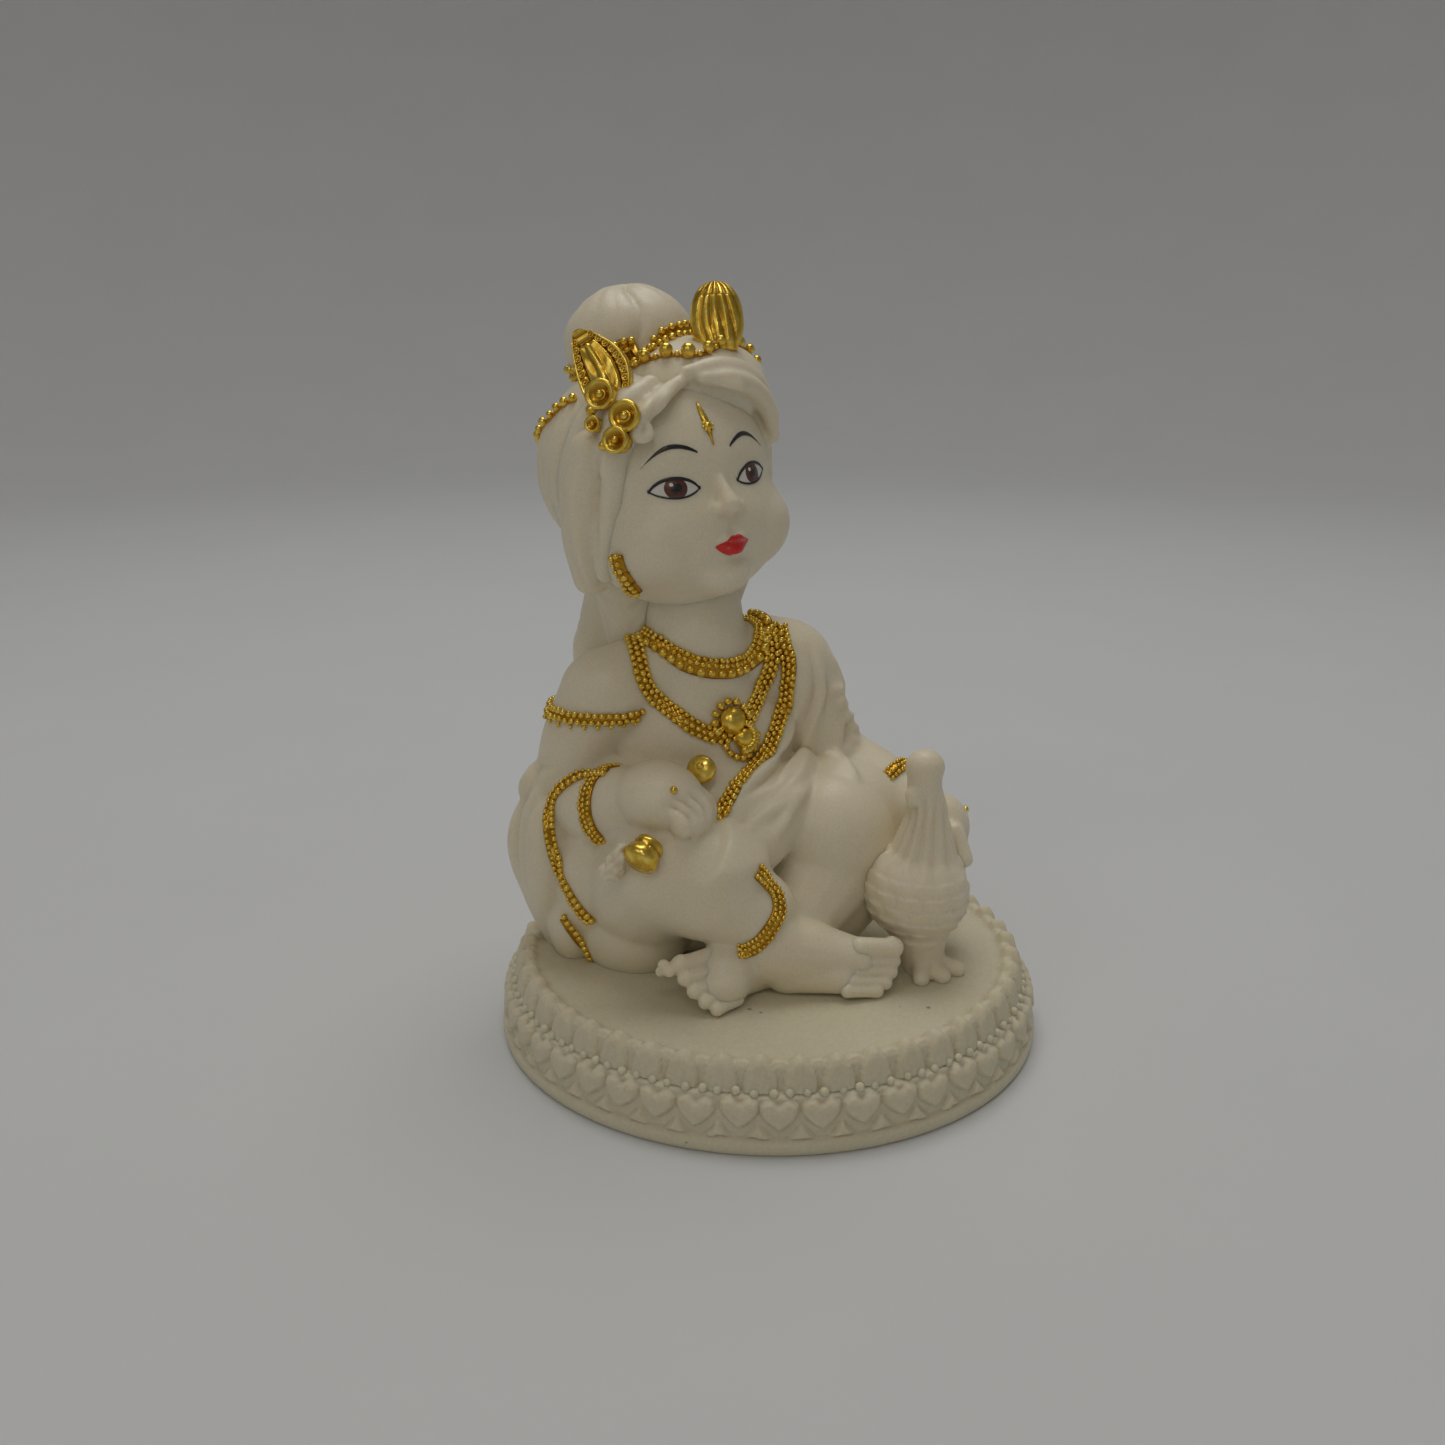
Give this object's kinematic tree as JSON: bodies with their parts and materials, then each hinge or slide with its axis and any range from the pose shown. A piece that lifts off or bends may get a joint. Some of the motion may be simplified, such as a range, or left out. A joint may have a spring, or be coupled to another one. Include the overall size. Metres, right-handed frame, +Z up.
{
  "type": "seated child figurine on a lotus base",
  "caption": "Cast marble-resin figurine of a seated child with a flute and a bird on a round lotus base, with gold-painted beads.",
  "frame": {"origin": "middle of the round base's underside, on the surface that it stands on", "axes": "+Z up, the figure faces -Y, its right hand is on the -X side"},
  "size_m": [0.08, 0.08, 0.1069],
  "materials": {
    "marble_resin": "cast marble-dust resin, soft satin, slightly translucent",
    "gold_paint": "bright gold paint on raised beads and ornaments",
    "eye_paint": "fine painted dark lines with brown irises",
    "lip_paint": "red paint"
  },
  "bodies": {
    "root": {"baby_krishna_figurine": "marble_resin"}
  },
  "joints": []
}
